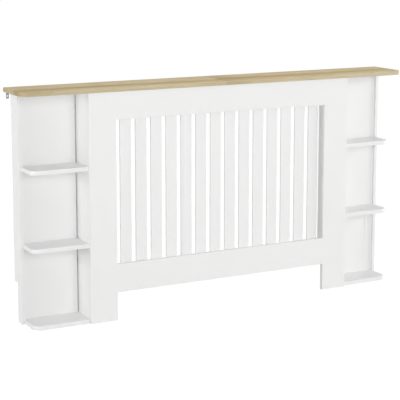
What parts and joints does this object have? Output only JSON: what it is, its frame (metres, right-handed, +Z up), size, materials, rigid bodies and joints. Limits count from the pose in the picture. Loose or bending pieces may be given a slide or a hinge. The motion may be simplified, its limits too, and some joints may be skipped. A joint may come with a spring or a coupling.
{
  "type": "radiator cover cabinet",
  "caption": "Wide radiator cover with a slatted front, an open shelf unit at each end and a wood-look top in two halves.",
  "frame": {"origin": "on the floor, in the middle of the width and of the depth", "axes": "+X along the width, +Y towards the wall, +Z up"},
  "size_m": [1.52, 0.18, 0.815],
  "materials": {
    "white_board": "painted satin MDF",
    "oak_laminate": "matt light oak laminate",
    "bracket_steel": "zinc-plated sheet",
    "screw_steel": "zinc-plated",
    "dowel_wood": "plain beech"
  },
  "bodies": {
    "root": {"front_panel": "white_board", "slat_01": "white_board", "slat_02": "white_board", "slat_03": "white_board", "slat_04": "white_board", "slat_05": "white_board", "slat_06": "white_board", "slat_07": "white_board", "slat_08": "white_board", "slat_09": "white_board", "slat_10": "white_board", "slat_11": "white_board", "slat_12": "white_board", "slat_13": "white_board", "slat_14": "white_board", "side_panel_left": "white_board", "side_panel_right": "white_board", "back_panel_left": "white_board", "back_panel_right": "white_board", "end_panel_left": "white_board", "end_panel_right": "white_board", "bottom_shelf_left": "white_board", "bottom_shelf_right": "white_board", "middle_shelf_left": "white_board", "middle_shelf_right": "white_board", "upper_shelf_left": "white_board", "upper_shelf_right": "white_board", "top_board_left": "oak_laminate", "top_board_right": "oak_laminate", "front_corner_brackets": "bracket_steel", "shelf_unit_brackets": "bracket_steel", "top_brackets": "bracket_steel", "joining_plates": "bracket_steel", "wall_bracket_left": "bracket_steel", "wall_bracket_right": "bracket_steel", "bracket_screws": "screw_steel", "joining_plate_screws": "screw_steel", "wall_bracket_screws": "screw_steel", "slat_screws": "screw_steel", "shelf_screws": "screw_steel", "shelf_dowels": "dowel_wood"}
  },
  "joints": []
}
